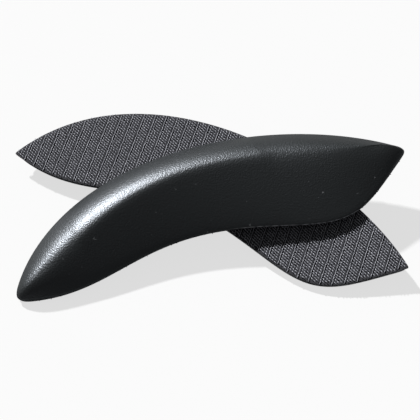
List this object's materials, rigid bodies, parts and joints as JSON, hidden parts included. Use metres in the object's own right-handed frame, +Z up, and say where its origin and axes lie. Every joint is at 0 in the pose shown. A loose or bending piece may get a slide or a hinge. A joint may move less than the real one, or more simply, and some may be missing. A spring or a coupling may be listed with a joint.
{
  "type": "chair armrest pad",
  "caption": "Pair of crescent moulded armrest pads with woven hook-tape backs, one leaning face up across the other lying face down.",
  "frame": {"origin": "on the floor, under the middle of the pair's bounding box", "axes": "+X along the pair's longest extent towards the pads' thin ends, +Y from the viewer to the bowed back edges, +Z up from the floor"},
  "size_m": [0.2713, 0.1423, 0.0446],
  "materials": {
    "skin": "fine leather grain, satin",
    "foam_core": "open-cell foam, matt",
    "board": "plywood, sawn",
    "tape_adhesive": "clear pressure-sensitive film",
    "hook_tape": "woven nylon hook tape, dark grey"
  },
  "bodies": {
    "lower_pad": {"lower_skin": "skin", "lower_foam_core": "foam_core", "lower_board": "board", "lower_tape_adhesive": "tape_adhesive", "lower_hook_tape": "hook_tape"},
    "upper_pad": {"upper_skin": "skin", "upper_foam_core": "foam_core", "upper_board": "board", "upper_tape_adhesive": "tape_adhesive", "upper_hook_tape": "hook_tape"}
  },
  "joints": [
    {"name": "upper_lift", "type": "slide", "parent": "lower_pad", "child": "upper_pad", "axis": [0, 0, 1], "range_m": [0, 0.08]}
  ]
}
